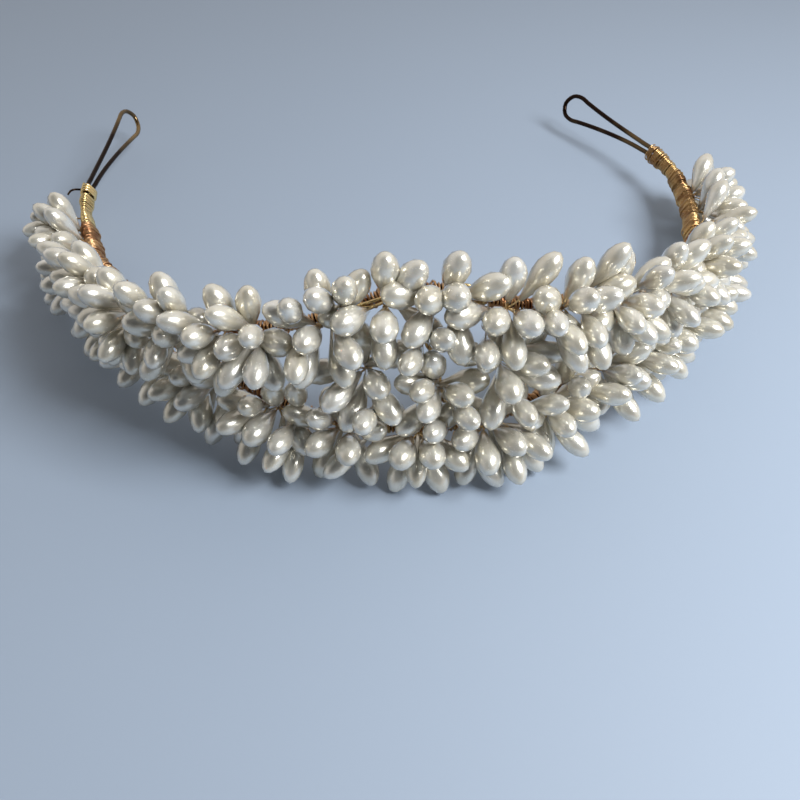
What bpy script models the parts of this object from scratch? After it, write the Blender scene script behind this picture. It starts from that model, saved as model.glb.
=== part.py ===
"""Bridal tiara of pearl buds on a gold wire frame, at real size in metres, +Z up, front towards -Y.

One gold wire is bent into a closed band. Its lower rail runs round the brow, its upper rail rises to a
peak at the front, and at both ends the two rails come together, run side by side and end in an open eye
for a hair pin. Small sprays of pearl buds are bound on the rails all the way round. The tiara lies on a
table on its lowest buds, and the origin is the bottom centre of its box.
"""

import math

import bmesh
import bpy
import numpy as np
from mathutils import Matrix, Vector

MM = 0.001

# Frame wire: its thickness, and the outline of the band seen from above and from the front.
WIRE_DIAMETER = 1.2 * MM
WIRE_SIDES = 6
LEG_GAP = 0.3 * MM
HALF_WIDTH = 70.0 * MM
FRONT_DEPTH = 59.0 * MM
RAIL_HEIGHT = 9.0 * MM
BROW_LIFT = 4.0 * MM
PEAK_RISE = 25.0 * MM
PEAK_SETBACK = 9.0 * MM
EYE_STEP = 2.8 * MM
SIDE_STEP = 10.0 * MM
FRONT_STEP = 6.0 * MM

# The pin eyes: their width, the share of the bare legs at which they are widest, how they open, and
# the angle at which the upper leg stands over the lower one.
EYE_WIDTH = 6.4 * MM
EYE_SHARE = 0.88
EYE_FLARE = 1.9
LEG_STAND = math.radians(62)

# The band's stations from the left pin eye, round the front, to the right one. across is a share of
# HALF_WIDTH and back of FRONT_DEPTH; lift is a share of BROW_LIFT for both rails, rise a share of
# PEAK_RISE and setback of PEAK_SETBACK for the upper rail alone.
BAND_STATIONS = (
    # name, across, back, lift, rise, setback
    ("left_tip", -1.04, 1.93, -0.1, 0.0, 0.0),
    ("left_bare", -1.065, 1.30, 0.0, 0.0, 0.0),
    ("left_bound", -1.0, 1.02, 0.1, 0.0, 0.0),
    ("left_split", -0.92, 0.80, 0.4, 0.0, 0.0),
    ("left_temple", -0.79, 0.55, 0.8, 0.17, 0.0),
    ("left_brow", -0.58, 0.29, 1.0, 0.36, -0.3),
    ("left_front", -0.29, 0.075, 0.4, 0.66, 0.05),
    ("centre", 0.03, 0.0, 0.0, 0.94, 0.85),
    ("right_front", 0.32, 0.075, 0.4, 0.74, 0.45),
    ("right_brow", 0.58, 0.30, 1.0, 0.42, 0.2),
    ("right_temple", 0.80, 0.59, 0.8, 0.20, 0.3),
    ("right_split", 0.92, 0.95, 0.4, 0.0, 0.0),
    ("right_bound", 0.962, 1.30, 0.0, 0.0, 0.0),
    ("right_bare", 0.915, 1.59, 0.0, 0.0, 0.0),
    ("right_tip", 0.665, 2.06, -0.1, 0.0, 0.0),
)
STATION_NAMES = [row[0] for row in BAND_STATIONS]

# One pearl bud: a drop with a round end and a thin neck, on a stem that ends in its binding.
BUD_DIAMETER = 4.7 * MM
BUD_LENGTH = 9.6 * MM
BUD_REACH = 11.0 * MM
REACH_PLAY = 1.3 * MM
BUD_SIDES = 10
NECK_SIDES = 5
BUD_GAP = 0.12 * MM
# The bud's rings, as shares of its length from the round end and of its half diameter.
CROWN_RING = (0.11, 0.66)
BELLY_RING = (0.40, 1.0)
NECK_RING = (0.90, 0.29)

# The binding of a spray: a collar round the rail, thicker on the side where the stems enter.
FIT_GAP = 0.3 * MM
COLLAR_SIDES = 6
COLLAR_DIAMETER = 3.2 * MM
COLLAR_OFFSET = 0.3 * MM
COLLAR_LENGTH = 5.0 * MM
ROOT_OFFSET = 1.55 * MM
ROOT_SPREAD = 1.8 * MM

# The plain binding next to each pin eye.
SLEEVE_WALL = 0.5 * MM

# The struts that stand between the rails at the front, with their places on the lower and the upper
# rail, and the length of their end collars.
STRUTS = (
    # name, lower, upper
    ("centre_strut", 0.527, 0.5025),
    ("left_strut", 0.46, 0.4475),
    ("right_strut", 0.59, 0.557),
)
STRUT_COLLAR_LENGTH = 3.0 * MM

# The sprays. place is a share of the way along its rail from the left split to the right one, or along
# an arm from the split to the binding. The hearts stand about the spray's axis and the petals lean away
# from it by spread. lift is how far the axis looks up, and turn how far it looks towards the right end
# of the band. twist turns the petals about it. All angles are in degrees.
SPRAYS = (
    # rail, place, hearts, petals, spread, lift, turn, twist
    ("left_arm", 0.74, 2, 4, 60, 25, -35, 0),
    ("left_arm", 0.22, 2, 3, 62, 25, 0, 0),
    ("lower", 0.13, 1, 5, 60, 5, 0, 20),
    ("lower", 0.21, 1, 5, 60, 10, 0, 50),
    ("lower", 0.285, 1, 5, 60, 10, 0, 0),
    ("lower", 0.355, 1, 5, 60, 10, 0, 30),
    ("lower", 0.425, 2, 5, 60, 20, 0, 10),
    ("lower", 0.495, 2, 6, 62, 20, 0, 0),
    ("lower", 0.56, 2, 5, 60, 15, 0, 30),
    ("lower", 0.625, 2, 5, 62, 20, 0, 0),
    ("lower", 0.70, 1, 5, 60, 15, 0, 45),
    ("lower", 0.78, 1, 4, 60, 10, 0, 15),
    ("lower", 0.865, 1, 4, 60, 10, 0, 30),
    ("right_arm", 0.12, 1, 4, 60, 15, 0, 45),
    ("right_arm", 0.46, 2, 4, 60, 25, 0, 30),
    ("right_arm", 0.80, 2, 5, 60, 25, 30, 0),
    ("upper", 0.14, 1, 5, 60, 35, 0, 0),
    ("upper", 0.21, 1, 5, 60, 30, 0, 30),
    ("upper", 0.28, 2, 5, 60, 30, 0, 0),
    ("upper", 0.35, 1, 6, 60, 25, 0, 40),
    ("upper", 0.42, 2, 5, 62, 25, 0, 10),
    ("upper", 0.475, 1, 5, 60, 25, 0, 0),
    ("upper", 0.53, 2, 5, 60, 30, 0, 20),
    ("upper", 0.585, 2, 5, 60, 25, 0, 0),
    ("upper", 0.64, 2, 5, 62, 25, 0, 36),
    ("upper", 0.705, 1, 5, 60, 25, 0, 15),
    ("upper", 0.775, 1, 5, 60, 30, 0, 0),
    ("upper", 0.85, 1, 5, 60, 35, 0, 30),
    ("centre_strut", 0.36, 2, 5, 60, 15, 0, 18),
    ("left_strut", 0.56, 2, 5, 60, 20, 0, 0),
    ("right_strut", 0.52, 2, 4, 60, 20, 0, 30),
)
HEART_ANGLE = 24.0
INWARD_LIMIT = -0.15

# The bud as a chain of balls, for laying the buds clear of each other: distance of each ball's centre
# from the round end as a share of the length, and its radius as a share of the half diameter. The
# first BODY_BALLS of them are the pearl, the others its neck. The wires are rows of balls as well.
BUD_BALLS = ((0.235, 0.96), (0.40, 1.0), (0.58, 0.84), (0.76, 0.56), (0.92, 0.34))
BODY_BALLS = 3
WIRE_BALL_STEP = 1.2 * MM
SETTLE_ROUNDS = 600
NEIGHBOUR_ROUNDS = 15
HOME_PULL = 0.035
FOOT_PULL = 0.25
FOOT_LIFT = 0.5

# How sharp an edge stays when a piece is shaded smooth, and the paths' points between two stations.
SHARP_EDGE = math.radians(50)
STEPS = 24

GOLD = (0.80, 0.58, 0.27, 1.0)
PEARL = (0.86, 0.85, 0.81, 1.0)


def clear_scene():
    for thing in list(bpy.data.objects):
        bpy.data.objects.remove(thing)


def material(name, colour, metallic, roughness):
    made = bpy.data.materials.new(name)
    made.use_nodes = True
    shader = made.node_tree.nodes["Principled BSDF"]
    shader.inputs["Base Color"].default_value = colour
    shader.inputs["Metallic"].default_value = metallic
    shader.inputs["Roughness"].default_value = roughness
    return made


UPWARD = np.array([0.0, 0.0, 1.0])


def unit(vector):
    return vector / np.linalg.norm(vector, axis=-1, keepdims=True)


def smooth_path(points, steps):
    """Points on a smooth curve through the given ones (Catmull-Rom), steps to each span."""
    points = np.asarray(points, float)
    padded = np.vstack([2 * points[0] - points[1], points, 2 * points[-1] - points[-2]])
    share = np.linspace(0, 1, steps, endpoint=False)[:, None]
    spans = []
    for p0, p1, p2, p3 in zip(padded, padded[1:], padded[2:], padded[3:]):
        bend = 2 * p0 - 5 * p1 + 4 * p2 - p3
        twist = 3 * (p1 - p2) + p3 - p0
        spans.append(0.5 * (2 * p1 + (p2 - p0) * share + bend * share**2 + twist * share**3))
    return np.vstack([*spans, points[-1:]])


def lengths_along(path):
    return np.concatenate([[0], np.cumsum(np.linalg.norm(np.diff(path, axis=0), axis=1))])


def point_at(path, share):
    """The point and the direction at a share of a path's length."""
    along = lengths_along(path)
    place = share * along[-1]
    point = np.array([np.interp(place, along, path[:, axis]) for axis in range(3)])
    reach = COLLAR_LENGTH / 2
    ends = [
        np.array([np.interp(place + side, along, path[:, axis]) for axis in range(3)])
        for side in (-reach, reach)
    ]
    return point, unit(ends[1] - ends[0])


def outward_of(tangent):
    """The level direction that points away from the head, square to the band's direction."""
    return unit(np.stack([tangent[..., 1], -tangent[..., 0], 0 * tangent[..., 0]], axis=-1))


def stand_of(tangent):
    """The direction in which the upper leg stands over the lower one where the two run together."""
    return outward_of(tangent) * math.cos(LEG_STAND) + UPWARD * math.sin(LEG_STAND)


def station_row(name):
    return STATION_NAMES.index(name) * STEPS


def eye_spread(share):
    """Half the distance between the two legs, at a share of the way from the binding to the tip."""
    leg = (WIRE_DIAMETER + LEG_GAP) / 2
    opening = np.clip(share / EYE_SHARE, 0, 1)
    widened = leg + (EYE_WIDTH / 2 - leg) * opening**EYE_FLARE
    closing = np.clip((share - EYE_SHARE) / (1 - EYE_SHARE), 0, 1)
    return widened * np.sqrt(1 - closing**2)


def band_paths():
    """The lower and the upper rail from the left tip to the right one, and the line midway on the arms."""
    rows = np.array([row[1:] for row in BAND_STATIONS])
    across, back, lift, rise, setback = rows.T
    middle = np.stack([across * HALF_WIDTH, back * FRONT_DEPTH, RAIL_HEIGHT + lift * BROW_LIFT], 1)
    middle = smooth_path(middle, STEPS)
    rise = smooth_path(np.outer(rise, [1, 0, 0]), STEPS)[:, 0]
    setback = smooth_path(np.outer(setback, [1, 0, 0]), STEPS)[:, 0]
    lattice = np.zeros(len(middle), bool)
    lattice[station_row("left_split") : station_row("right_split") + 1] = True
    rise = np.where(lattice, np.maximum(rise, 0), 0)
    setback = np.where(lattice, setback, 0)
    outward = outward_of(unit(np.gradient(middle, axis=0)))
    along = lengths_along(middle)
    spread = np.full(len(middle), eye_spread(0.0))
    for bare, tip in (("left_bare", "left_tip"), ("right_bare", "right_tip")):
        start, end = along[station_row(bare)], along[station_row(tip)]
        share = (along - start) / (end - start)
        spread = np.where(share > 0, eye_spread(np.clip(share, 0, 1)), spread)
    stand = stand_of(unit(np.gradient(middle, axis=0)))
    lower = middle - stand * spread[:, None]
    upper = middle + stand * spread[:, None] - outward * (setback * PEAK_SETBACK)[:, None]
    upper[:, 2] += rise * PEAK_RISE
    return lower, upper, middle


def between(path, first, last):
    return path[station_row(first) : station_row(last) + 1]


def wire_points(rail):
    """The corner points of the wire along one rail: close together at the eyes, farther apart between."""
    stops = ("left_tip", "left_bare", "left_front", "right_front", "right_bare", "right_tip")
    steps = (EYE_STEP, SIDE_STEP, FRONT_STEP, SIDE_STEP, EYE_STEP)
    spans = [
        resampled(between(rail, first, last), step)[:-1]
        for first, last, step in zip(stops, stops[1:], steps)
    ]
    return np.vstack([*spans, rail[-1:]])


def resampled(path, step):
    along = lengths_along(path)
    count = max(2, round(along[-1] / step))
    places = np.linspace(0, along[-1], count + 1)
    return np.stack([np.interp(places, along, path[:, axis]) for axis in range(3)], 1)


def wire_object(name, points, diameter, cyclic, finish):
    """A round wire along the points, as a curve with a bevel."""
    curve = bpy.data.curves.new(name, "CURVE")
    curve.dimensions = "3D"
    curve.twist_mode = "Z_UP"
    curve.bevel_depth = diameter / 2
    curve.bevel_resolution = WIRE_SIDES // 2 - 2
    curve.use_fill_caps = not cyclic
    spline = curve.splines.new("POLY")
    spline.points.add(len(points) - 1)
    for place, point in zip(spline.points, points):
        place.co = (*point, 1.0)
    spline.use_cyclic_u = cyclic
    curve.materials.append(finish)
    made = bpy.data.objects.new(name, curve)
    bpy.context.collection.objects.link(made)
    return made


def mesh_object(name, points, faces, finish):
    mesh = bpy.data.meshes.new(name)
    mesh.from_pydata([tuple(point) for point in points], [], faces)
    mesh.materials.append(finish)
    mesh.shade_smooth()
    mesh.set_sharp_from_angle(angle=SHARP_EDGE)
    made = bpy.data.objects.new(name, mesh)
    bpy.context.collection.objects.link(made)
    return made


def frame_wire(lower, upper, finish):
    """The closed band: along the lower rail from the left tip to the right one, back along the upper."""
    there, back = wire_points(lower), wire_points(upper)[::-1]
    return wire_object("frame_wire", np.vstack([there, back[1:-1]]), WIRE_DIAMETER, True, finish)


def stadium(radius, half_spread, offset):
    """A round outline, or a long one with round ends that lie where the two legs lie.

    Its plane is square to the band: first axis outwards, second upwards. offset moves it outwards.
    """
    turn = np.arange(COLLAR_SIDES) * 2 * math.pi / COLLAR_SIDES
    along, aside = radius * np.cos(turn), radius * np.sin(turn)
    along += np.sign(along) * half_spread
    outward = along * math.cos(LEG_STAND) + aside * math.sin(LEG_STAND) + offset
    upward = along * math.sin(LEG_STAND) - aside * math.cos(LEG_STAND)
    return np.stack([outward, upward], 1)


def tube_between(stations, bore, wall):
    """Points and faces of a tube: at each station an outer and an inner outline, and rings at the ends.

    A station is a place, the tube's direction and the outward direction there.
    """
    points = []
    for place, tangent, outward in stations:
        outward = unit(outward - tangent * (outward @ tangent))
        upward = np.cross(outward, tangent)
        for outline in (wall, bore):
            points.extend(place + outward * x + upward * z for x, z in outline)
    sides = len(bore)
    faces = []
    for row in range(len(stations) - 1):
        for side in range(sides):
            after = (side + 1) % sides
            near, far = row * 2 * sides, (row + 1) * 2 * sides
            faces.append((near + side, near + after, far + after, far + side))
            inner_near, inner_far = near + sides, far + sides
            faces.append((inner_near + side, inner_far + side, inner_far + after, inner_near + after))
    last = (len(stations) - 1) * 2 * sides
    for side in range(sides):
        after = (side + 1) % sides
        faces.append((side, side + sides, after + sides, after))
        faces.append((last + side, last + after, last + after + sides, last + side + sides))
    return points, faces


def faced_outwards(made):
    """Turns the faces of a closed mesh outwards."""
    shape = bmesh.new()
    shape.from_mesh(made.data)
    bmesh.ops.recalc_face_normals(shape, faces=shape.faces)
    shape.to_mesh(made.data)
    shape.free()
    return made


def bore_radius():
    """Corner radius of a bore that clears the wire all round."""
    return (WIRE_DIAMETER / 2 + FIT_GAP) / math.cos(math.pi / COLLAR_SIDES)


def end_binding(name, path, finish):
    """The binding beside a pin eye, round both legs of the wire."""
    spread = eye_spread(0.0)
    bore = stadium(bore_radius(), spread, 0)
    wall = stadium(bore_radius() + SLEEVE_WALL, spread, 0)
    stations = []
    for share in np.linspace(0.02, 0.98, 4):
        place, tangent = point_at(path, share)
        stations.append((place, tangent, outward_of(tangent)))
    points, faces = tube_between(stations, bore, wall)
    return faced_outwards(mesh_object(name, points, faces, finish))


def collar(name, seat, offset, length, finish):
    """A short binding round a rail. offset shifts its outside towards the stems that it holds."""
    place, tangent, outward, half_spread = seat
    bore = stadium(bore_radius(), half_spread, 0)
    wall = stadium(COLLAR_DIAMETER / 2, half_spread, offset)
    ends = [(place + tangent * side * length / 2, tangent, outward) for side in (-1, 1)]
    points, faces = tube_between(ends, bore, wall)
    return faced_outwards(mesh_object(name, points, faces, finish))


def joined(main_piece, others):
    """Makes one solid of a piece and others that reach into it."""
    for number, other in enumerate(others):
        other.hide_render = True
        other.display_type = "WIRE"
        join = main_piece.modifiers.new("join_%d" % number, "BOOLEAN")
        join.operation = "UNION"
        join.solver = "EXACT"
        join.use_self = True
        join.object = other
    return main_piece


def strut(name, seats, finish):
    """A short wire from rail to rail with a collar round each, all one piece."""
    rings = [
        collar(made, seat, 0, STRUT_COLLAR_LENGTH, finish)
        for made, seat in zip((name, name + "_upper_collar"), seats)
    ]
    low, high = seats[0][0], seats[1][0]
    way = unit(high - low)
    clear = (bore_radius() + COLLAR_DIAMETER / 2) / 2
    ends = (low + way * clear, high - way * clear)
    turned = Vector(way).to_track_quat("Z", "Y").to_matrix()
    turns = np.arange(WIRE_SIDES) * 2 * math.pi / WIRE_SIDES
    ring = np.outer(np.cos(turns), turned.col[0]) + np.outer(np.sin(turns), turned.col[1])
    points = [end + offset * WIRE_DIAMETER / 2 for end in ends for offset in ring]
    sides = [
        (side, (side + 1) % WIRE_SIDES, (side + 1) % WIRE_SIDES + WIRE_SIDES, side + WIRE_SIDES)
        for side in range(WIRE_SIDES)
    ]
    caps = [tuple(range(WIRE_SIDES)), tuple(range(WIRE_SIDES, 2 * WIRE_SIDES))]
    bar = faced_outwards(mesh_object(name + "_bar", points, sides + caps, finish))
    return joined(rings[0], [bar, rings[1]])


def bud_directions(row, tangent, outward):
    """Where the buds of one spray would point by themselves: hearts about its axis, petals round it."""
    _, _, hearts, petals, spread, lift, turn, twist = row
    lift, turn = math.radians(lift), math.radians(turn)
    level = outward * math.cos(turn) + tangent * math.sin(turn)
    axis = level * math.cos(lift) + UPWARD * math.sin(lift)
    side = unit(np.cross(axis, UPWARD))
    top = np.cross(side, axis)
    found = []
    for count, angle, start in ((hearts, HEART_ANGLE, -twist), (petals, spread, twist)):
        tilt = math.radians(angle if count > 1 else 0)
        for index in range(count):
            turned = math.radians(start) + 2 * math.pi * index / count
            ring = side * math.cos(turned) + top * math.sin(turned)
            found.append(axis * math.cos(tilt) + ring * math.sin(tilt))
    return found


def feet_of(homes, roots, sprays):
    """The bud that looks down most in every spray low enough to stand on it."""
    found = []
    for number in np.unique(sprays):
        mine = np.nonzero(sprays == number)[0]
        if roots[mine[0], 2] < RAIL_HEIGHT + FOOT_LIFT * BROW_LIFT:
            found.append(mine[np.argmin(homes[mine, 2])])
    return np.array(found)


def settle(homes, roots, outwards, sprays, obstacles):
    """Bends the stems until no two buds touch, none touches a rail and none lies under the table.

    Each bud turns about its root and slides a little on its stem. It is drawn towards its home direction,
    and the foot of each low spray down to the table. The balls grow to their size meanwhile, so that
    buds which start across each other can slip past.
    """
    shares = np.array([share for share, _ in BUD_BALLS])
    full = np.array([share for _, share in BUD_BALLS]) * BUD_DIAMETER / 2
    body = np.arange(len(full)) < BODY_BALLS
    rails, thickness, owners = obstacles
    aims = homes.copy()
    reach = np.full(len(homes), BUD_REACH)
    count, balls = len(homes), len(full)
    first, second = np.meshgrid(np.arange(balls), np.arange(balls), indexing="ij")
    first, second = first.ravel(), second.ravel()
    feet = feet_of(homes, roots, sprays)
    pairs = rail_pairs = None
    for turn in range(SETTLE_ROUNDS):
        radii = full * min(1.0, 0.4 + turn / SETTLE_ROUNDS)
        fading = max(0.0, 1 - 1.3 * turn / SETTLE_ROUNDS)
        arms = reach[:, None] - shares * BUD_LENGTH
        centres = roots[:, None] + aims[:, None] * arms[:, :, None]
        if turn % NEIGHBOUR_ROUNDS == 0:
            middles = centres[:, 1]
            apart = np.linalg.norm(middles[:, None] - middles[None], axis=2)
            a, b = np.nonzero(np.triu(apart < 2.2 * BUD_LENGTH, 1))
            near_rail = np.linalg.norm(middles[:, None] - rails[None], axis=2) < 1.6 * BUD_LENGTH
            rail_pairs = np.nonzero(near_rail)
            same = sprays[a] == sprays[b]
            pairs = (a, b, same)
        a, b, same = pairs
        push = np.zeros_like(aims)
        slide = np.zeros(count)
        gap = centres[a][:, first] - centres[b][:, second]
        distance = np.linalg.norm(gap, axis=2)
        needed = radii[first] + radii[second] + BUD_GAP
        deep = np.clip(needed - distance, 0, None)
        deep[np.ix_(same, ~(body[first] & body[second]))] = 0
        shift = gap / distance[:, :, None] * (deep / 2)[:, :, None]
        np.add.at(push, a, (shift / arms[a][:, first][:, :, None]).sum(1))
        np.add.at(push, b, (-shift / arms[b][:, second][:, :, None]).sum(1))
        np.add.at(slide, a, (shift * aims[a][:, None]).sum(2).sum(1))
        np.add.at(slide, b, (-shift * aims[b][:, None]).sum(2).sum(1))
        bud, rail = rail_pairs
        foreign = (owners[rail] >= 0) & (owners[rail] != sprays[bud])
        gap = centres[bud] - rails[rail][:, None]
        distance = np.linalg.norm(gap, axis=2)
        needed = radii + thickness[rail, None] + FIT_GAP
        deep = np.clip(needed - distance, 0, None) * (foreign[:, None] | body)
        shift = gap / distance[:, :, None] * deep[:, :, None]
        np.add.at(push, bud, (shift / arms[bud][:, :, None]).sum(1))
        under = np.clip(radii - centres[:, :, 2], 0, None)
        push[:, 2] += (under / arms).sum(1)
        above = (centres[feet, :, 2] - radii).min(1)
        push[feet, 2] -= FOOT_PULL * fading * np.clip(above, 0, MM) / BUD_REACH
        inward = np.clip(INWARD_LIMIT - (aims * outwards).sum(1), 0, None)
        push += outwards * inward[:, None]
        calm = HOME_PULL * fading**1.5
        aims = unit(aims + 0.6 * push + calm * (homes - aims))
        reach = reach + 0.3 * slide + 0.3 * calm * (BUD_REACH - reach)
        reach = np.clip(reach, BUD_REACH - REACH_PLAY, BUD_REACH + REACH_PLAY)
    return aims, reach


def bud_points(root, aim, reach):
    """Corner points of one bud: its round end, the crown, belly and neck rings, and the root of its stem."""
    turned = Vector(aim).to_track_quat("Z", "Y").to_matrix()
    across, over = np.array(turned.col[0]), np.array(turned.col[1])
    points = [root + aim * reach]
    rings = ((CROWN_RING, BUD_SIDES), (BELLY_RING, BUD_SIDES), (NECK_RING, NECK_SIDES))
    for (share, width), sides in rings:
        centre = root + aim * (reach - share * BUD_LENGTH)
        turns = np.arange(sides) * 2 * math.pi / sides
        ring = np.outer(np.cos(turns), across) + np.outer(np.sin(turns), over)
        points.extend(centre + ring * width * BUD_DIAMETER / 2)
    return points + [root]


def bud_faces(start):
    """Faces of one bud whose points begin at that index."""
    crown, belly = start + 1, start + 1 + BUD_SIDES
    neck = belly + BUD_SIDES
    root = neck + NECK_SIDES
    faces = []
    for side in range(BUD_SIDES):
        after = (side + 1) % BUD_SIDES
        faces.append((start, crown + side, crown + after))
        faces.append((crown + side, belly + side, belly + after, crown + after))
    for side in range(NECK_SIDES):
        after = (side + 1) % NECK_SIDES
        left, middle, right = belly + 2 * side, belly + 2 * side + 1, belly + 2 * after
        faces.append((left, neck + side, middle))
        faces.append((middle, neck + side, neck + after))
        faces.append((middle, neck + after, right))
        faces.append((neck + side, root, neck + after))
    return faces


def spray(name, seat, roots, aims, reach, finish):
    """One spray: its buds on their stems, joined with the collar that holds them."""
    ring = collar(name, seat, COLLAR_OFFSET, COLLAR_LENGTH, finish)
    points, faces = [], []
    for root, aim, length in zip(roots, aims, reach):
        faces += bud_faces(len(points))
        points += bud_points(root, aim, length)
    return joined(ring, [mesh_object(name + "_buds", points, faces, finish)])


def rest_on_floor(made):
    """Moves everything so that the bottom centre of the box is the origin."""
    bpy.context.view_layer.update()
    graph = bpy.context.evaluated_depsgraph_get()
    corners = []
    for thing in made:
        shape = thing.evaluated_get(graph).to_mesh()
        corners += [thing.matrix_world @ corner.co for corner in shape.vertices]
    corners = np.array(corners)
    low, high = corners.min(0), corners.max(0)
    shift = Matrix.Translation((-(low[0] + high[0]) / 2, -(low[1] + high[1]) / 2, -low[2]))
    for thing in bpy.data.objects:
        thing.matrix_world = shift @ thing.matrix_world


def obstacles_of(lower, upper, struts, seats):
    """Balls that the buds keep clear of: centres, radii, and the spray that each belongs to or -1.

    They stand for the wire, the end bindings, the struts and the collars.
    """
    balls = [(resampled(path, WIRE_BALL_STEP), WIRE_DIAMETER / 2, -1) for path in (lower, upper)]
    for leg in (lower, upper):
        for first, last in (("left_bare", "left_bound"), ("right_bound", "right_bare")):
            balls.append((resampled(between(leg, first, last), WIRE_BALL_STEP), COLLAR_DIAMETER / 2, -1))
    collars = list(enumerate(seats))
    for name, strut_seats in struts.items():
        owner = [row[0] for row in SPRAYS].index(name)
        rod = np.array([seat[0] for seat in strut_seats])
        balls.append((resampled(rod, WIRE_BALL_STEP), WIRE_DIAMETER / 2, owner))
        collars += [(owner, seat) for seat in strut_seats]
    for owner, (place, tangent, _, half_spread) in collars:
        along = tangent * COLLAR_LENGTH / 2
        leg = stand_of(tangent) * half_spread
        spots = [place + along * i + leg * j for i in (-1, 0, 1) for j in (-1, 1)]
        balls.append((np.array(spots), COLLAR_DIAMETER / 2, owner))
    centres = np.vstack([path for path, _, _ in balls])
    radii = np.concatenate([np.full(len(path), radius) for path, radius, _ in balls])
    return centres, radii, np.concatenate([np.full(len(path), owner) for path, _, owner in balls])


def main():
    clear_scene()
    gold = material("gold_wire", GOLD, 1.0, 0.3)
    pearl = material("pearl_bud", PEARL, 0.3, 0.35)
    lower, upper, middle = band_paths()
    made = [frame_wire(lower, upper, gold)]
    bound = [between(middle, "left_bare", "left_bound"), between(middle, "right_bound", "right_bare")]
    for name, path in zip(("left_binding", "right_binding"), bound):
        made.append(end_binding(name, path, gold))

    paths = {
        "lower": between(lower, "left_split", "right_split"),
        "upper": between(upper, "left_split", "right_split"),
        "left_arm": between(middle, "left_bound", "left_split")[::-1],
        "right_arm": between(middle, "right_split", "right_bound"),
    }
    struts = {}
    for name, *shares in STRUTS:
        struts[name] = []
        for rail, share in zip(("lower", "upper"), shares):
            place, tangent = point_at(paths[rail], share)
            struts[name].append((place, tangent, outward_of(tangent), 0.0))
        paths[name] = np.array([seat[0] for seat in struts[name]])
        made.append(strut(name, struts[name], gold))

    roots, homes, outwards, sprays, seats = [], [], [], [], []
    for number, row in enumerate(SPRAYS):
        place, tangent = point_at(paths[row[0]], row[1])
        if row[0] == "left_arm":
            tangent = -tangent
        outward = struts[row[0]][0][2] if row[0] in struts else outward_of(tangent)
        half_spread = eye_spread(0.0) if row[0].endswith("arm") else 0.0
        seats.append((place, tangent, outward, half_spread))
        for aim in bud_directions(row, tangent, outward):
            along = tangent * (aim @ tangent) * ROOT_SPREAD
            roots.append(place + outward * ROOT_OFFSET + along)
            homes.append(aim)
            outwards.append(outward)
            sprays.append(number)
    sprays = np.array(sprays)
    roots, homes, outwards = np.array(roots), np.array(homes), np.array(outwards)
    obstacles = obstacles_of(lower, upper, struts, seats)
    aims, reach = settle(homes, roots, outwards, sprays, obstacles)

    for number, seat in enumerate(seats):
        mine = sprays == number
        made.append(spray("spray_%02d" % (number + 1), seat, roots[mine], aims[mine], reach[mine], pearl))
    rest_on_floor(made)


main()
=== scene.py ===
import math
import random

import bmesh
import bpy
import numpy as np
from mathutils import Matrix, Vector


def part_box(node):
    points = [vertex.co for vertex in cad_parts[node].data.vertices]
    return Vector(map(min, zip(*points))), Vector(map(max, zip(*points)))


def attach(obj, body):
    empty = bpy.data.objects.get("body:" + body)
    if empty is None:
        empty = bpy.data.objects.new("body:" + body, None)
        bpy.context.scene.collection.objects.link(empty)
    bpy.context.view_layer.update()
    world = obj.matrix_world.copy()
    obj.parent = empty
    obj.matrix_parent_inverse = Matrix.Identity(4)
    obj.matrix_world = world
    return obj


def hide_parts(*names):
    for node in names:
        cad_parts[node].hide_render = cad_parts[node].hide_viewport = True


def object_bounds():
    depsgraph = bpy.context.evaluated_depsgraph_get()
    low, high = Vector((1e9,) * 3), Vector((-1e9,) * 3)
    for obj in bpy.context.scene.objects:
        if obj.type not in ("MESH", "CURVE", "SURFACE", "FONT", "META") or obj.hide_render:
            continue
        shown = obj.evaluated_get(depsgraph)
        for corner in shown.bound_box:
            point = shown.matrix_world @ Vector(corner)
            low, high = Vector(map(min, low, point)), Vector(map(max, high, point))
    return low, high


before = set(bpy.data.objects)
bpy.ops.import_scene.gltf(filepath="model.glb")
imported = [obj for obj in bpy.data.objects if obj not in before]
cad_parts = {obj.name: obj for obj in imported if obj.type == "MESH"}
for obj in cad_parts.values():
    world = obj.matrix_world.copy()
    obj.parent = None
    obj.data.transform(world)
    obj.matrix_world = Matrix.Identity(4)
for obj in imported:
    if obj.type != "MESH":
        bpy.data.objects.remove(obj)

cad_box = [list(corner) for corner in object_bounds()]

# ---- Frame wire ---------------------------------------------------------------------------
# One length of springy brass wire, closed into a ring: two rails over the brow and a long pin
# eye at either end. It was bent by hand. Its near-black colour with brownish patches is painted
# dark reflection. It stands in for the dark room that the polished wire reflects.
FRAME_WIRE_THICK = 0.00114
RING_EDGE_LONGEST = 0.0009      # edges round the wire are shorter than this, edges along it longer
SMOOTH_STEP = 0.0010


def merged(node):
    """A bmesh copy of a CAD node, its loose triangles sewn together."""
    mesh = bmesh.new()
    mesh.from_mesh(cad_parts[node].data)
    bmesh.ops.remove_doubles(mesh, verts=mesh.verts, dist=1e-6)
    return mesh


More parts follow.
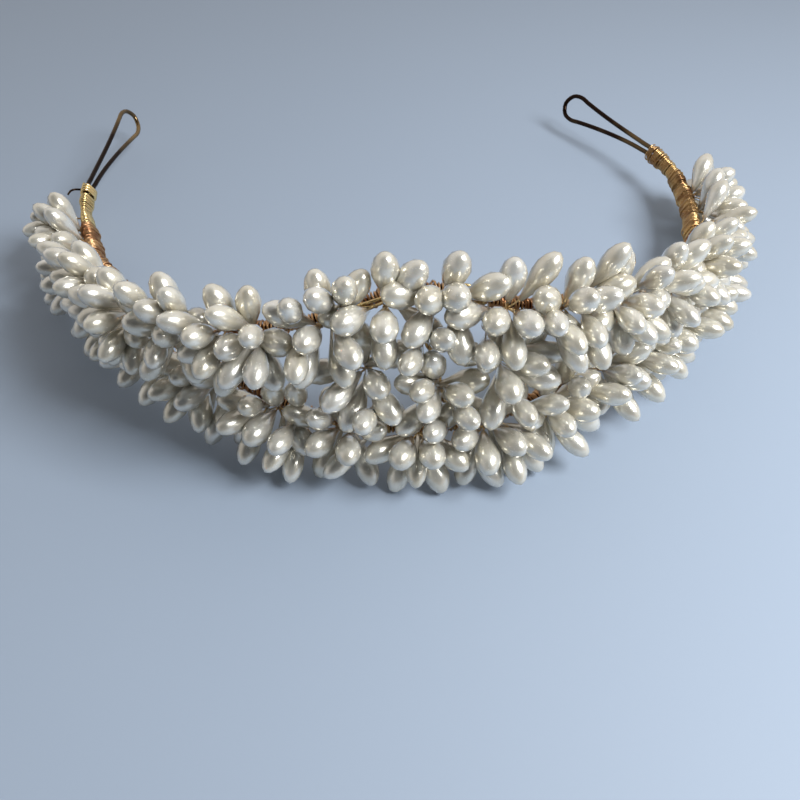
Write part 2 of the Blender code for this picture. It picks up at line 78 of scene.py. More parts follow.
def middles_of_wire(node):
    """The middle of every ring of points on a closed wire, in order along it."""
    mesh = merged(node)
    ring_of, rings = {}, []
    for start in mesh.verts:
        if start in ring_of:
            continue
        ring, waiting = [], [start]
        while waiting:
            point = waiting.pop()
            if point in ring_of:
                continue
            ring_of[point] = len(rings)
            ring.append(point)
            for edge in point.link_edges:
                if edge.calc_length() < RING_EDGE_LONGEST:
                    waiting.append(edge.other_vert(point))
        rings.append(ring)
    beside = [set() for _ in rings]
    for edge in mesh.edges:
        first, second = (ring_of[end] for end in edge.verts)
        if first != second:
            beside[first].add(second)
            beside[second].add(first)
    walk = [0, min(beside[0])]
    while len(walk) < len(rings):
        walk.append(next(ring for ring in beside[walk[-1]] if ring != walk[-2]))
    middles = [sum((point.co for point in rings[i]), Vector()) / len(rings[i]) for i in walk]
    mesh.free()
    return middles


def smoothed(points, step, closed=False):
    """A finer path through the points, with rounded turns."""
    count = len(points)
    path = []
    for i in range(count if closed else count - 1):
        if closed:
            a, b, c, d = (points[(i + k) % count] for k in (-1, 0, 1, 2))
        else:
            a, b, c, d = (points[min(max(i + k, 0), count - 1)] for k in (-1, 0, 1, 2))
        parts = max(1, round((c - b).length / step))
        for k in range(parts):
            t = k / parts
            path.append(0.5 * (2 * b + (c - a) * t + (2 * a - 5 * b + 4 * c - d) * t * t
                               + (3 * b - a - 3 * c + d) * t ** 3))
    if not closed:
        path.append(points[-1].copy())
    return path


def drawn_wire(name, runs, thick, roundness, closed=False):
    """Round wire laid along each run of points, made one mesh."""
    bpy.ops.object.select_all(action="DESELECT")
    curve = bpy.data.curves.new(name, "CURVE")
    curve.dimensions = "3D"
    curve.bevel_depth = thick / 2
    curve.bevel_resolution = roundness
    curve.use_fill_caps = True
    for run in runs:
        spline = curve.splines.new("POLY")
        spline.points.add(len(run) - 1)
        for place, point in zip(spline.points, run):
            place.co = (*point, 1)
        spline.use_cyclic_u = closed
    wire = bpy.data.objects.new(name, curve)
    bpy.context.collection.objects.link(wire)
    wire.select_set(True)
    bpy.context.view_layer.objects.active = wire
    bpy.ops.object.convert(target="MESH")
    wire = bpy.context.view_layer.objects.active
    bpy.ops.object.shade_smooth()
    return wire


def wire_metal(name, bright, dull, roughness, patch_size, dull_share):
    """Drawn wire: bright metal with duller patches, and fine scratches in its polish."""
    metal = bpy.data.materials.new(name)
    metal.use_nodes = True
    nodes, links = metal.node_tree.nodes, metal.node_tree.links
    shader = nodes["Principled BSDF"]
    place = nodes.new("ShaderNodeTexCoord")
    patches = nodes.new("ShaderNodeTexNoise")
    patches.inputs["Scale"].default_value = 1 / patch_size
    patches.inputs["Detail"].default_value = 3
    patches.inputs["Roughness"].default_value = 0.6
    tone = nodes.new("ShaderNodeValToRGB")
    tone.color_ramp.elements[0].position = max(0.0, dull_share - 0.12)
    tone.color_ramp.elements[0].color = (*dull, 1)
    tone.color_ramp.elements[1].position = min(1.0, dull_share + 0.12)
    tone.color_ramp.elements[1].color = (*bright, 1)
    scratches = nodes.new("ShaderNodeTexNoise")
    scratches.inputs["Scale"].default_value = 9000
    scratches.inputs["Detail"].default_value = 2
    polish = nodes.new("ShaderNodeMapRange")
    polish.inputs["To Min"].default_value = roughness - 0.08
    polish.inputs["To Max"].default_value = roughness + 0.10
    bump = nodes.new("ShaderNodeBump")
    bump.inputs["Strength"].default_value = 0.25
    bump.inputs["Distance"].default_value = 0.00003
    links.new(place.outputs["Object"], patches.inputs["Vector"])
    links.new(place.outputs["Object"], scratches.inputs["Vector"])
    links.new(patches.outputs["Fac"], tone.inputs["Fac"])
    links.new(tone.outputs["Color"], shader.inputs["Base Color"])
    links.new(scratches.outputs["Fac"], polish.inputs["Value"])
    links.new(polish.outputs["Result"], shader.inputs["Roughness"])
    links.new(scratches.outputs["Fac"], bump.inputs["Height"])
    links.new(bump.outputs["Normal"], shader.inputs["Normal"])
    shader.inputs["Metallic"].default_value = 1.0
    return metal


ring_path = middles_of_wire("frame_wire")
left_tip = max((i for i, p in enumerate(ring_path) if p.x < 0), key=lambda i: ring_path[i].y)
ring_path = ring_path[left_tip:] + ring_path[:left_tip]
right_tip = max((i for i, p in enumerate(ring_path) if p.x > 0), key=lambda i: ring_path[i].y)
lower_rail = ring_path[:right_tip + 1]
upper_rail = [ring_path[0]] + ring_path[:right_tip - 1:-1]
if max(p.z for p in lower_rail) > max(p.z for p in upper_rail):
    lower_rail, upper_rail = upper_rail, lower_rail

frame_wire = drawn_wire("brass_frame_wire", [smoothed(ring_path, SMOOTH_STEP, True)],
                        FRAME_WIRE_THICK, 2, closed=True)
# Near-black base colour with brownish patches: painted dark reflection of a dark room.
frame_wire.data.materials.append(wire_metal(
    "brass_painted_dark_reflection", bright=(0.34, 0.23, 0.11), dull=(0.022, 0.012, 0.008),
    roughness=0.13, patch_size=0.030, dull_share=0.62))
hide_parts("frame_wire")
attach(frame_wire, "root")

# ---- Struts ------------------------------------------------------------------------------
# Three short struts at the front, each two strands of softer wire twisted together, stand
# between the rails and are wound a few turns round each of them.
STRAND_THICK = 0.00062
STRAND_TWIST = 0.0042
STRAND_OUT = STRAND_THICK * 0.54
STRUT_PARTS = 40
STRUT_END = 0.0035              # this much of either end is looked at to find its seat on the rail
STRUT_TURNS = 4
TURN_PITCH = STRAND_THICK * 1.1
PATH_STEP = 0.0005

fine_lower = smoothed(lower_rail, PATH_STEP)
fine_upper = smoothed(upper_rail, PATH_STEP)


def nearest(path, point):
    """Which point of a path lies nearest to a place."""
    return min(range(len(path)), key=lambda i: (path[i] - point).length_squared)


def coil_round(path, reach, pitch, corners, spreads=None, wander=0.0, chance=None):
    """Points of a helix round a path, or round two legs that lie side by side.

    reach is the helix's radius as a function of the share of the way, and wander makes turns
    uneven. spreads gives half the way between the two legs at each point.
    """
    marks = [0.0]
    for a, b in zip(path, path[1:]):
        marks.append(marks[-1] + (b - a).length)
    total = marks[-1]
    steps = max(corners, round(total / pitch * corners))
    helix, i, side, drift = [], 0, None, 0.0
    for k in range(steps + 1):
        at = total * k / steps
        while i < len(path) - 2 and marks[i + 1] < at:
            i += 1
        along = (path[i + 1] - path[i]).normalized()
        if spreads:
            side = spreads[i]
        elif side is None:
            side = along.cross(Vector((0, 0, 1)))
        side = (side - along * side.dot(along)).normalized()
        other = along.cross(side)
        if chance and k % corners == 0:
            drift = chance.uniform(-wander, wander)
        angle = math.tau * k / corners
        out = reach(at / total) + drift
        point = path[i].lerp(path[i + 1], (at - marks[i]) / (marks[i + 1] - marks[i]))
        point = point + side * math.cos(angle) * out + other * math.sin(angle) * out
        if spreads:
            point = point + math.copysign(1, math.cos(angle)) * spreads[i]
        helix.append(point)
    return helix


soft_gilt = wire_metal(
    "soft_gilt_wire", bright=(0.70, 0.52, 0.27), dull=(0.32, 0.19, 0.09),
    roughness=0.30, patch_size=0.004, dull_share=0.45)
strut_paths = {}
for node in ("centre_strut", "left_strut", "right_strut"):
    shape = merged(node)
    heights = [point.co.z for point in shape.verts]
    foot = [point.co for point in shape.verts if point.co.z < min(heights) + STRUT_END]
    head = [point.co for point in shape.verts if point.co.z > max(heights) - STRUT_END]
    low_at = nearest(fine_lower, sum(foot, Vector()) / len(foot))
    high_at = nearest(fine_upper, sum(head, Vector()) / len(head))
    shape.free()
    low, high = fine_lower[low_at], fine_upper[high_at]
    strut_paths[node] = [low.lerp(high, k / STRUT_PARTS) for k in range(STRUT_PARTS + 1)]
    twisted = []
    for half in (0, 1):
        strand = coil_round(strut_paths[node], lambda share: STRAND_OUT, STRAND_TWIST, 10)
        if half:
            strand = [2 * low.lerp(high, k / (len(strand) - 1)) - p for k, p in enumerate(strand)]
        twisted.append(strand)
    for rail, at in ((fine_lower, low_at), (fine_upper, high_at)):
        reach = int(STRUT_TURNS * TURN_PITCH / PATH_STEP / 2) + 1
        twisted.append(coil_round(rail[at - reach:at + reach + 1],
                                  lambda share: (FRAME_WIRE_THICK + STRAND_THICK) / 2,
                                  TURN_PITCH, 10))
    strut = drawn_wire("twisted_" + node, twisted, STRAND_THICK, 1)
    strut.data.materials.append(soft_gilt)
    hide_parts(node)
    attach(strut, "root")

# ---- End bindings ------------------------------------------------------------------------
# Beside each pin eye the two legs are bound together with gilt wire: thick bright turns first on
# the left end, finer wire wound in two uneven layers on the right one.
TOGETHER = 0.00175              # legs nearer than this lie side by side
ARM_LEAST = 16                  # a run of this many points or fewer isn't an arm
COARSE_THICK = 0.00072
COARSE_PITCH = COARSE_THICK * 1.55
COARSE_LENGTH = 0.0048
FINE_THICK = 0.00036
FINE_PITCH = FINE_THICK * 1.8
FINE_SWELL = 0.00022
WANDER = 0.00006
SECOND_RISE = 0.00030           # the second layer, on the right end only
SECOND_PITCH = 0.00078
SECOND_WANDER = 0.00020

mates = [fine_upper[nearest(fine_upper, point)] for point in fine_lower]
arms, run = [], []
for low, high in zip(fine_lower + [None], mates + [None]):
    if low and (low - high).length < TOGETHER:
        run.append((low, high))
    else:
        if len(run) > ARM_LEAST:
            arms.append(run)
        run = []
bright_gilt = wire_metal(
    "bright_gilt_wire", bright=(0.93, 0.72, 0.36), dull=(0.55, 0.36, 0.15),
    roughness=0.22, patch_size=0.003, dull_share=0.36)
worn_gilt = wire_metal(
    "worn_gilt_wire", bright=(0.80, 0.55, 0.25), dull=(0.36, 0.18, 0.08),
    roughness=0.26, patch_size=0.0045, dull_share=0.47)
chance = random.Random(11)
for side, arm in zip(("left", "right"), arms):
    if side == "right":
        arm = arm[::-1]
    low_corner, high_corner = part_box(side + "_binding")
    bound = [pair for pair in arm if low_corner.y < pair[0].y < high_corner.y]
    middles = [(low + high) / 2 for low, high in bound]
    spreads = [(high - low) / 2 for low, high in bound]
    split = int(COARSE_LENGTH / PATH_STEP) if side == "left" else 0
    if split:
        coils = [coil_round(middles[:split], lambda share: (FRAME_WIRE_THICK + COARSE_THICK) / 2,
                            COARSE_PITCH, 16, spreads[:split], WANDER, chance)]
        turns = drawn_wire("left_end_turns", coils, COARSE_THICK, 1)
        turns.data.materials.append(bright_gilt)
        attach(turns, "root")
    snug = (FRAME_WIRE_THICK + FINE_THICK) / 2
    layers = [(snug, FINE_PITCH, WANDER)]
    if side == "right":
        layers.append((snug + SECOND_RISE, SECOND_PITCH, SECOND_WANDER))
    coils = [coil_round(middles[split:],
                        lambda share, reach=reach: reach + FINE_SWELL * math.sin(9 * share),
                        pitch, 14, spreads[split:], wander, chance)
             for reach, pitch, wander in layers]
    binding = drawn_wire(side + "_end_binding", coils, FINE_THICK, 0)
    binding.data.materials.append(bright_gilt if side == "left" else worn_gilt)
    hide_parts(side + "_binding")
    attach(binding, "root")

# ---- Pearl buds ---------------------------------------------------------------------------
# Long drop pearls of pressed glass or resin with a satin skin, each on its own wire: five to
# eight of them are twisted together into one spray and bound to the rail by their stems.
BUD_RADIUS = 0.00235
BUD_LENGTH = 0.0096
BUD_SIDES = 12
CROWN_SIDES = 10                # the CAD bud's first ring of points round its tip
TIP_EDGE = 0.001876             # from the CAD bud's tip to each point of that ring
BUD_PROFILE = (                 # share of the length from the tip, share of the radius
    (0.05, 0.45),
    (0.16, 0.80),
    (0.31, 0.99),
    (0.48, 0.94),
    (0.66, 0.69),
    (0.84, 0.41),
    (1.00, 0.20),
)

bpy.ops.object.select_all(action="DESELECT")
bpy.ops.mesh.primitive_circle_add(vertices=BUD_SIDES, radius=BUD_PROFILE[0][1] * BUD_RADIUS,
                                  location=(0, 0, -BUD_PROFILE[0][0] * BUD_LENGTH))
bud = bpy.context.view_layer.objects.active
bud.name = "pearl_bud"
bpy.ops.object.transform_apply(location=True, rotation=True, scale=True)
bpy.ops.object.mode_set(mode="EDIT")
bpy.ops.mesh.select_all(action="SELECT")
for (depth, width), (next_depth, next_width) in zip(BUD_PROFILE, BUD_PROFILE[1:]):
    bpy.ops.mesh.extrude_region_move(
        TRANSFORM_OT_translate={"value": (0, 0, (depth - next_depth) * BUD_LENGTH)})
    bpy.ops.transform.resize(value=(next_width / width, next_width / width, 1))
for depth in (BUD_PROFILE[-1][0], BUD_PROFILE[0][0]):
    bpy.ops.mesh.select_all(action="DESELECT")
    shape = bmesh.from_edit_mesh(bud.data)
    for edge in shape.edges:
        edge.select = all(abs(end.co.z + depth * BUD_LENGTH) < 1e-6 for end in edge.verts)
    shape.select_flush(True)
    bmesh.update_edit_mesh(bud.data)
    bpy.ops.mesh.edge_face_add()
    bpy.ops.mesh.poke()
shape = bmesh.from_edit_mesh(bud.data)
for point in shape.verts:
    if math.hypot(point.co.x, point.co.y) < 1e-7:
        point.co.z = 0.0 if point.co.z > -0.5 * BUD_LENGTH else -1.02 * BUD_LENGTH
bmesh.update_edit_mesh(bud.data)
bpy.ops.mesh.select_all(action="SELECT")
bpy.ops.mesh.normals_make_consistent(inside=False)
bpy.ops.object.mode_set(mode="OBJECT")
bpy.ops.object.shade_smooth()


def buds_of(node):
    """Tip and direction of every bud of a spray, from the ten-sided crowns of its CAD solid."""
    mesh = merged(node)
    found = []
    for tip in mesh.verts:
        around = [edge.other_vert(tip).co for edge in tip.link_edges]
        if len(around) == CROWN_SIDES and all(
                abs((p - tip.co).length - TIP_EDGE) < 2e-5 for p in around):
            crown = sum(around, Vector()) / CROWN_SIDES
            found.append((tip.co.copy(), (tip.co - crown).normalized()))
    mesh.free()
    return found


pearl = bpy.data.materials.new("satin_pearl")
pearl.use_nodes = True
nodes, links = pearl.node_tree.nodes, pearl.node_tree.links
shader = nodes["Principled BSDF"]
skin = nodes.new("ShaderNodeAttribute")
skin.attribute_name = "along_bud"
own = nodes.new("ShaderNodeAttribute")
own.attribute_name = "bud_tone"
clouds = nodes.new("ShaderNodeTexNoise")
clouds.inputs["Scale"].default_value = 0.32
clouds.inputs["Detail"].default_value = 3
stretch = nodes.new("ShaderNodeMapping")
stretch.inputs["Scale"].default_value = (1.0, 1.0, 0.16)
streaks = nodes.new("ShaderNodeTexNoise")
streaks.inputs["Scale"].default_value = 4.2
streaks.inputs["Detail"].default_value = 4
streaks.inputs["Roughness"].default_value = 0.62
specks = nodes.new("ShaderNodeTexNoise")
specks.inputs["Scale"].default_value = 7.5
specks.inputs["Detail"].default_value = 2
colour = nodes.new("ShaderNodeValToRGB")
colour.color_ramp.elements[0].position = 0.30
colour.color_ramp.elements[0].color = (0.70, 0.655, 0.555, 1)
colour.color_ramp.elements[1].position = 0.70
colour.color_ramp.elements[1].color = (0.885, 0.864, 0.800, 1)
shade = nodes.new("ShaderNodeMix")
shade.data_type = "RGBA"
shade.blend_type = "MULTIPLY"
shade.inputs["Factor"].default_value = 1.0
satin = nodes.new("ShaderNodeMapRange")
satin.inputs["To Min"].default_value = 0.14
satin.inputs["To Max"].default_value = 0.34
fine = nodes.new("ShaderNodeBump")
fine.inputs["Strength"].default_value = 0.34
fine.inputs["Distance"].default_value = 0.00006
mist = nodes.new("ShaderNodeBump")
mist.inputs["Strength"].default_value = 0.34
mist.inputs["Distance"].default_value = 0.00004
links.new(skin.outputs["Vector"], clouds.inputs["Vector"])
links.new(skin.outputs["Vector"], stretch.inputs["Vector"])
links.new(skin.outputs["Vector"], specks.inputs["Vector"])
links.new(stretch.outputs["Vector"], streaks.inputs["Vector"])
links.new(clouds.outputs["Fac"], colour.inputs["Fac"])
links.new(colour.outputs["Color"], shade.inputs["A"])
links.new(own.outputs["Color"], shade.inputs["B"])
links.new(shade.outputs["Result"], shader.inputs["Base Color"])
links.new(streaks.outputs["Fac"], satin.inputs["Value"])
links.new(satin.outputs["Result"], shader.inputs["Roughness"])
links.new(streaks.outputs["Fac"], fine.inputs["Height"])
links.new(specks.outputs["Fac"], mist.inputs["Height"])
links.new(fine.outputs["Normal"], mist.inputs["Normal"])
links.new(mist.outputs["Normal"], shader.inputs["Normal"])
shader.inputs["Metallic"].default_value = 0.55
shader.inputs["Coat Weight"].default_value = 1.0
shader.inputs["Coat Roughness"].default_value = 0.07
shader.inputs["Subsurface Weight"].default_value = 0.12
shader.inputs["Subsurface Radius"].default_value = (0.0016, 0.0014, 0.0010)
shader.inputs["Subsurface Scale"].default_value = 1.0
bud.data.materials.append(pearl)

# The topmost buds of the front are bent a little towards the brow, and the upright ones of the
# sides outwards. Nothing keeps the bent buds clear of their neighbours.
BUD_REACH = 0.0110
LEAN_ABOVE = 0.0410
LEAN = Vector((0.0, -0.32, -0.10))
SIDES_FROM = 0.042
UPRIGHT = 0.5
SIDE_LEAN = Vector((0.34, -0.10, -0.22))

sprays = {node: buds_of(node) for node in sorted(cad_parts) if node.startswith("spray_")}
centres = {node: sum((tip - pointing * BUD_REACH for tip, pointing in buds), Vector()) / len(buds)
           for node, buds in sprays.items()}
for node, buds in sprays.items():
    for number, (tip, pointing) in enumerate(buds):
        if tip.z > LEAN_ABOVE:
            leaned = (pointing + LEAN).normalized()
        elif abs(centres[node].x) > SIDES_FROM and pointing.z > UPRIGHT:
            outward = SIDE_LEAN.copy()
            outward.x = math.copysign(SIDE_LEAN.x, tip.x)
            leaned = (pointing + outward).normalized()
        else:
            continue
        buds[number] = (centres[node] + leaned * (tip - centres[node]).length, leaned)

# More buds close the holes between the sprays: from every few millimetres of wire a bud is tried
# in each outward direction, and kept where others stand on all its sides. Only its thick half is
# tested against them, with some overlap allowed, so in the finished sprays many buds cross.
BUD_BALLS = (                   # the bud as balls: share of the length from the tip, of the radius
    (0.10, 0.60),
    (0.24, 0.93),
    (0.41, 1.00),
    (0.60, 0.78),
    (0.82, 0.42),
)
THICK_BALLS = 3                 # only these are tested, the thin neck may cross others
MIDDLE_BALL = 2
TAKEN_SHARE = 0.94
WIRE_CLEAR = 0.0005
FILL_SHARE = 0.88
FILL_STEP = 0.0040
FILL_ROUNDS = 4
FILL_AIR = -0.00035
FILL_REACHES = (0.0130, 0.0120, 0.0110, 0.0100, 0.0090)
FILL_WAYS = 300
FILL_BACK = 0.018               # the arms behind this line keep their sprays only
ROOT_WITHIN = 0.013             # a new bud's root lies this near to the middle of a spray
ROOT_OUT = 0.0012
OUTWARD_LEAST = 0.05
LOOK_ROUND = 0.018
CROWN_AT = 0.35                 # where a neighbour counts as standing, as a share of its length
HOLE_WIDE = 0.0085              # how far round a new bud its neighbours are looked for
HOLE_BUDS = 4
HOLE_LEAN = 0.42                # how far they may all lie to one side
SAME_PLACE = 0.001
REFUSED = -1.0

facings = {node: sum((pointing for _, pointing in buds), Vector()).normalized()
           for node, buds in sprays.items()}
depths = np.array([depth for depth, _ in BUD_BALLS]) * BUD_LENGTH
widths = np.array([width for _, width in BUD_BALLS]) * BUD_RADIUS
wires = [fine_lower, fine_upper, *strut_paths.values()]
taken = [np.array(path[::2]) for path in wires]
taken_wide = [np.full(len(path), FRAME_WIRE_THICK / 2 + WIRE_CLEAR) for path in taken]
for node, buds in sprays.items():
    for tip, pointing in buds:
        taken.append(np.array(tip) - depths[:, None] * np.array(pointing))
        taken_wide.append(widths * TAKEN_SHARE)
taken, taken_wide = np.vstack(taken), np.concatenate(taken_wide)
spiral = np.arange(FILL_WAYS) + 0.5
polar, around = np.arccos(1 - 2 * spiral / FILL_WAYS), spiral * math.pi * (1 + 5 ** 0.5)
ways = np.stack([np.cos(around) * np.sin(polar), np.sin(around) * np.sin(polar), np.cos(polar)], 1)
low_box, high_box = (np.array(corner) for corner in cad_box)
roots = []
for path in wires:
    every = round(FILL_STEP / (path[1] - path[0]).length)
    for place in path[every // 2::every]:
        node = min(centres, key=lambda name: (centres[name] - place).length)
        if (centres[node] - place).length < ROOT_WITHIN and place.y < FILL_BACK:
            root = np.array(place + facings[node] * ROOT_OUT)
            roots.append((node, root, np.array(facings[node])))
crowns = np.array([tip - pointing * BUD_LENGTH * CROWN_AT
                   for buds in sprays.values() for tip, pointing in buds])
extra = {node: [] for node in sprays}
for _ in range(FILL_ROUNDS):
    for node, root, facing in roots:
        open_ways = ways[ways @ facing > OUTWARD_LEAST]
        tips = root + open_ways[:, None] * np.array(FILL_REACHES)[None, :, None]
        balls = tips[:, :, None] - open_ways[:, None, None] * depths[:, None]
        near = np.linalg.norm(taken - root, axis=1) < LOOK_ROUND
        thick = balls[:, :, :THICK_BALLS, None]
        air = np.linalg.norm(thick - taken[near], axis=4) - taken_wide[near]
        air = (air.min(3) - widths[:THICK_BALLS] * FILL_SHARE).min(2)
        inside = (balls - widths[:, None] > low_box) & (balls + widths[:, None] < high_box)
        air[~inside.all((2, 3))] = REFUSED
        beside = crowns - balls[:, :, MIDDLE_BALL, None]
        distance = np.linalg.norm(beside, axis=3)
        beside -= (beside @ open_ways[:, None, :, None]) * open_ways[:, None, None]
        apart = np.linalg.norm(beside, axis=3)
        close = (distance < HOLE_WIDE) & (apart > SAME_PLACE)
        lean = np.where(close[..., None], beside / np.maximum(apart, 1e-6)[..., None], 0).sum(2)
        count = close.sum(2)
        one_sided = np.linalg.norm(lean, axis=2) > HOLE_LEAN * count
        air[(count < HOLE_BUDS) | one_sided] = REFUSED
        way, arm = np.unravel_index(np.argmax(air), air.shape)
        if air[way, arm] < FILL_AIR:
            continue
        extra[node].append((Vector(tips[way, arm]), Vector(open_ways[way]), Vector(root)))
        taken = np.vstack([taken, balls[way, arm]])
        crowns = np.vstack([crowns, balls[way, arm, MIDDLE_BALL]])
        taken_wide = np.concatenate([taken_wide, widths * FILL_SHARE])

# Each bud has its own skin, tone and thickness, and is drawn in on its stem by up to a millimetre.
SKIN_SHIFT = 40
TONE = (0.90, 1.0)
WARMTH = (0.0, 0.05)
PLUMP = (0.88, 1.0)
FILL_PLUMP = (0.82, FILL_SHARE)
DRAWN_IN = 0.0009
NECK_AT = 0.96                  # share of the bud's length where its stem comes out
STEM_SAG = 0.0003

stems = {}
chance = random.Random(7)
for node, buds in sprays.items():
    bpy.ops.object.select_all(action="DESELECT")
    copies, runs = [], []
    centre = centres[node]
    bound = [(tip, pointing, centre) for tip, pointing in buds] + extra[node]
    for number, (tip, pointing, root) in enumerate(bound):
        copy = bud.copy()
        copy.data = bud.data.copy()
        bpy.context.collection.objects.link(copy)
        own_place = Vector([chance.uniform(-SKIN_SHIFT, SKIN_SHIFT) for _ in range(3)])
        along = copy.data.attributes.new("along_bud", "FLOAT_VECTOR", "POINT")
        for point, value in zip(copy.data.vertices, along.data):
            value.vector = point.co * 1000 + own_place
        tone = copy.data.attributes.new("bud_tone", "FLOAT_COLOR", "POINT")
        light, warm = chance.uniform(*TONE), chance.uniform(*WARMTH)
        for value in tone.data:
            value.color = (light, light * (1 - 0.4 * warm), light * (1 - 1.6 * warm), 1)
        plump = chance.uniform(*(PLUMP if number < len(buds) else FILL_PLUMP))
        tip = tip - pointing * chance.uniform(0.0, DRAWN_IN)
        turn = pointing.to_track_quat("Z", "Y").to_matrix().to_4x4()
        copy.data.transform(Matrix.Translation(tip) @ turn
                            @ Matrix.Rotation(chance.uniform(0, math.tau), 4, "Z")
                            @ Matrix.Diagonal((plump, plump, 1, 1)))
        copy.select_set(True)
        copies.append(copy)
        neck = tip - pointing * BUD_LENGTH * NECK_AT
        runs.append([neck, neck.lerp(root, 0.5) - pointing * STEM_SAG, root])
    bpy.context.view_layer.objects.active = copies[0]
    bpy.ops.object.join()
    spray = bpy.context.view_layer.objects.active
    spray.name = spray.data.name = "pearls_" + node[-2:]
    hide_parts(node)
    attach(spray, "root")
    stems[node] = (centre, runs)
bpy.data.objects.remove(bud)

# ---- Stems -------------------------------------------------------------------------------
# The buds' own wires, of the same soft gilt wire as the struts. Each leaves the neck of its bud,
# and all those of one spray run together at the rail, where they are bound.
STEM_THICK = 0.00038

stem_wire = drawn_wire("bud_stems", [run for _, runs in stems.values() for run in runs],
                       STEM_THICK, 0)
stem_wire.data.materials.append(soft_gilt)
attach(stem_wire, "root")

# ---- Rail and arm winding ----------------------------------------------------------------
# Fine gilt binding wire, wound turn by turn round the rails over the stems of the sprays, with
# some looser turns on top. It is bright where it is new and copper brown where it has worn.
WINDING_THICK = 0.00042
WINDING_PITCH = 0.00058
LUMP_REACH = 0.0034             # how far from its middle the winding over a spray's stems runs
LUMP_RISE = 0.00030
LUMP_NEAR = 0.003               # a spray whose middle is farther from this wire is bound elsewhere
WINDING_AIR = 0.00004
WINDING_WANDER = 0.00008
LOOSE_RISE = 0.00028
LOOSE_PITCH = 0.0021
LOOSE_WANDER = 0.00018
WINDING_BACK = 0.02             # behind this line the rails are bare or bound as one arm

chance = random.Random(3)
copper = wire_metal(
    "copper_winding_wire", bright=(0.78, 0.50, 0.26), dull=(0.30, 0.13, 0.06),
    roughness=0.28, patch_size=0.006, dull_share=0.50)
runs = []
for name, path in (("lower", fine_lower), ("upper", fine_upper)):
    mate = fine_upper if name == "lower" else fine_lower
    free = [point for point in path if point.y < WINDING_BACK
            and (point - mate[nearest(mate, point)]).length >= TOGETHER]
    runs.append((name + "_rail_winding", free, None))
for side, arm in zip(("left", "right"), arms):
    low_corner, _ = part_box(side + "_binding")
    rest = [pair for pair in arm if pair[0].y <= low_corner.y]
    runs.append((side + "_arm_winding", [(low + high) / 2 for low, high in rest],
                 [(high - low) / 2 for low, high in rest]))
for name, path, spreads in runs:
    marks = np.array([0.0] + [(b - a).length for a, b in zip(path, path[1:])]).cumsum()
    lumps = []
    for centre, _ in stems.values():
        at = nearest(path, centre)
        if (path[at] - centre).length < LUMP_NEAR:
            lumps.append(marks[at])
    lumps = np.array(lumps)

    def reach(share):
        away = np.abs(lumps - share * marks[-1]).min() if len(lumps) else 1
        lump = max(0.0, 1 - (away / LUMP_REACH) ** 4)
        return (FRAME_WIRE_THICK + WINDING_THICK) / 2 + WINDING_AIR + LUMP_RISE * lump

    corners = 14 if spreads else 9
    coils = [coil_round(path, reach, WINDING_PITCH, corners, spreads, WINDING_WANDER, chance),
             coil_round(path, lambda share: reach(share) + LOOSE_RISE, LOOSE_PITCH, corners,
                        spreads, LOOSE_WANDER, chance)]
    winding = drawn_wire(name, coils, WINDING_THICK, 0)
    winding.data.materials.append(worn_gilt if "right" in name else copper)
    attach(winding, "root")

# ---- Loose wire ends ---------------------------------------------------------------------
# Odds and ends of the maker's wire: a bright arch that jumps between two sprays on the upper rail,
# a doubled length that lies along it, and the dark cut end of the left end's coil.
END_THICK = 0.00050
ARCH_PARTS = 12
BRIGHT_ARCHES = (               # from and to, across the tiara, and how far the middle bows out
    (0.0092, 0.0150, (0, -0.0008, 0.0026)),
    (-0.0062, 0.0004, (0, -0.0016, 0.0012)),
    (-0.0060, 0.0008, (0, -0.0022, 0.0006)),
    (0.0232, 0.0290, (0, -0.0020, 0.0010)),
)
DARK_END_IN = 0.0022            # how far down the left binding the dark end leaves it
DARK_END_FROM = Vector((-0.0010, 0.0004, 0.0006))
DARK_END_TO = Vector((-0.0040, -0.0022, 0.0010))
DARK_END_BOW = Vector((-0.0008, 0.0006, 0.0003))

front_rail = [point for point in fine_upper if point.y < 0.0]


def rail_at(x):
    """The point of the front of the upper rail at one place across the tiara."""
    return min(front_rail, key=lambda point: abs(point.x - x)).copy()


def arch(start, end, rise):
    """Points of a wire that leaves one place, bows out and comes down at the other."""
    shares = [step / ARCH_PARTS for step in range(ARCH_PARTS + 1)]
    return [start.lerp(end, share) + rise * math.sin(math.pi * share) for share in shares]


bright_runs = [arch(rail_at(start), rail_at(end), Vector(bow)) for start, end, bow in BRIGHT_ARCHES]
bright_ends = drawn_wire("bright_wire_ends", bright_runs, END_THICK, 1)
bright_ends.data.materials.append(bright_gilt)
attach(bright_ends, "root")

leg_middles = [low.lerp(high, 0.5) for low, high in arms[0]]
leaves_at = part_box("left_binding")[1].y - DARK_END_IN
start = min(leg_middles, key=lambda point: abs(point.y - leaves_at))
dark_run = arch(start + DARK_END_FROM, start + DARK_END_TO, DARK_END_BOW)
dark_end = drawn_wire("dark_wire_end", [dark_run], END_THICK, 1)
# The end wears the frame wire's brass, whose near-black colour is painted dark reflection.
dark_end.data.materials.append(frame_wire.data.materials[0])
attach(dark_end, "root")

# ---- Studio -------------------------------------------------------------------------------
# A plain pale table top, a soft light from the right in a pale room that is darker on the camera's
# side, and a camera at the height and angle that the picture was taken from.
TABLE_SIZE = 6
LAMP_PLACE = Vector((0.23, -0.14, 0.29))
LAMP_AIM = Vector((0.02, -0.02, 0))
CAMERA_DIP = 46.5               # degrees that it looks down

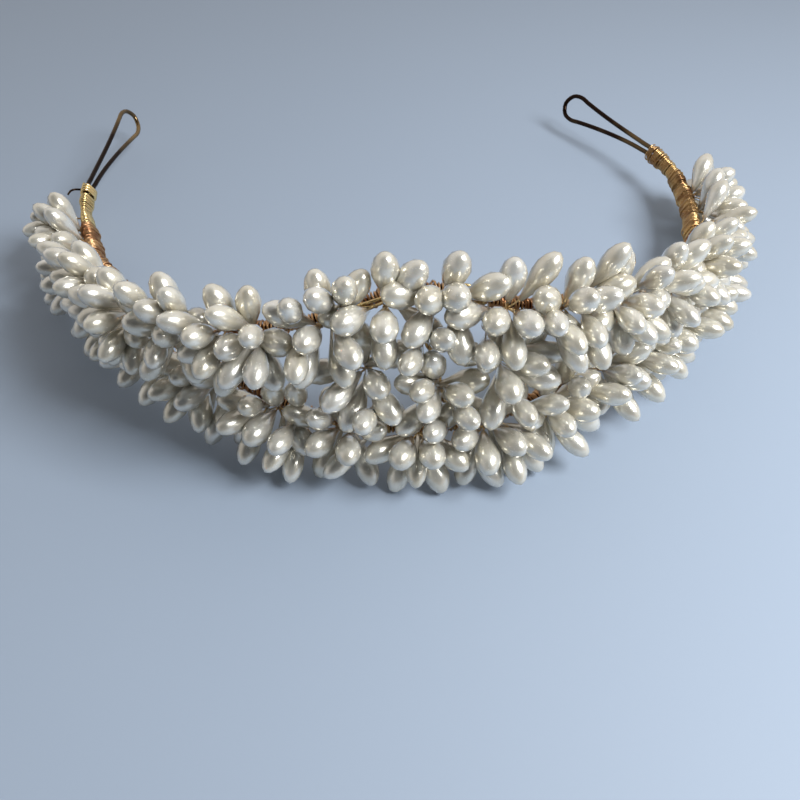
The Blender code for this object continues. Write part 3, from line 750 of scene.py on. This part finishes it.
bpy.ops.object.select_all(action="DESELECT")
bpy.ops.mesh.primitive_plane_add(size=TABLE_SIZE, location=(0, 0, 0))
table = bpy.context.view_layer.objects.active
table.name = "table_top"
paint = bpy.data.materials.new("pale_table")
paint.use_nodes = True
nodes, links = paint.node_tree.nodes, paint.node_tree.links
shader = nodes["Principled BSDF"]
place = nodes.new("ShaderNodeTexCoord")
cloudy = nodes.new("ShaderNodeTexNoise")
cloudy.inputs["Scale"].default_value = 6.0
cloudy.inputs["Detail"].default_value = 3
sheet = nodes.new("ShaderNodeValToRGB")
sheet.color_ramp.elements[0].position = 0.25
sheet.color_ramp.elements[0].color = (0.330, 0.396, 0.492, 1)
sheet.color_ramp.elements[1].position = 0.75
sheet.color_ramp.elements[1].color = (0.342, 0.409, 0.505, 1)
grain = nodes.new("ShaderNodeTexNoise")
grain.inputs["Scale"].default_value = 900.0
grain.inputs["Detail"].default_value = 3
rough = nodes.new("ShaderNodeBump")
rough.inputs["Strength"].default_value = 0.10
rough.inputs["Distance"].default_value = 0.0001
links.new(place.outputs["Object"], cloudy.inputs["Vector"])
links.new(place.outputs["Object"], grain.inputs["Vector"])
links.new(cloudy.outputs["Fac"], sheet.inputs["Fac"])
links.new(sheet.outputs["Color"], shader.inputs["Base Color"])
links.new(grain.outputs["Fac"], rough.inputs["Height"])
links.new(rough.outputs["Normal"], shader.inputs["Normal"])
shader.inputs["Roughness"].default_value = 0.60
table.data.materials.append(paint)
bpy.context.scene.view_settings.view_transform = "Standard"

world = bpy.data.worlds.new("room")
bpy.context.scene.world = world
world.use_nodes = True
nodes, links = world.node_tree.nodes, world.node_tree.links
outward = nodes.new("ShaderNodeTexCoord")
towards = nodes.new("ShaderNodeVectorMath")
towards.operation = "DOT_PRODUCT"
towards.inputs[1].default_value = (0.0, -0.69, 0.72)
walls = nodes.new("ShaderNodeValToRGB")
walls.color_ramp.elements[0].position = 0.40
walls.color_ramp.elements[0].color = (0.81, 0.785, 0.765, 1)
walls.color_ramp.elements[1].position = 0.86
walls.color_ramp.elements[1].color = (0.05, 0.055, 0.06, 1)
links.new(outward.outputs["Generated"], towards.inputs[0])
links.new(towards.outputs["Value"], walls.inputs["Fac"])
links.new(walls.outputs["Color"], nodes["Background"].inputs["Color"])
nodes["Background"].inputs["Strength"].default_value = 0.80

lamp = bpy.data.lights.new("window", "AREA")
lamp.size = 0.17
lamp.energy = 1.75
lamp.color = (0.94, 0.97, 1.0)
hung = bpy.data.objects.new("window", lamp)
bpy.context.collection.objects.link(hung)
hung.location = LAMP_PLACE
hung.rotation_euler = (LAMP_AIM - LAMP_PLACE).to_track_quat("-Z", "Y").to_euler()

lens = bpy.data.cameras.new("camera")
lens.lens = 35.1
lens.sensor_width = 36
lens.clip_start = 0.001
camera = bpy.data.objects.new("camera", lens)
bpy.context.collection.objects.link(camera)
camera.location = (0.00138, -0.14466, 0.10960)
camera.rotation_euler = (math.radians(90 - CAMERA_DIP), 0, 0)
bpy.context.scene.camera = camera
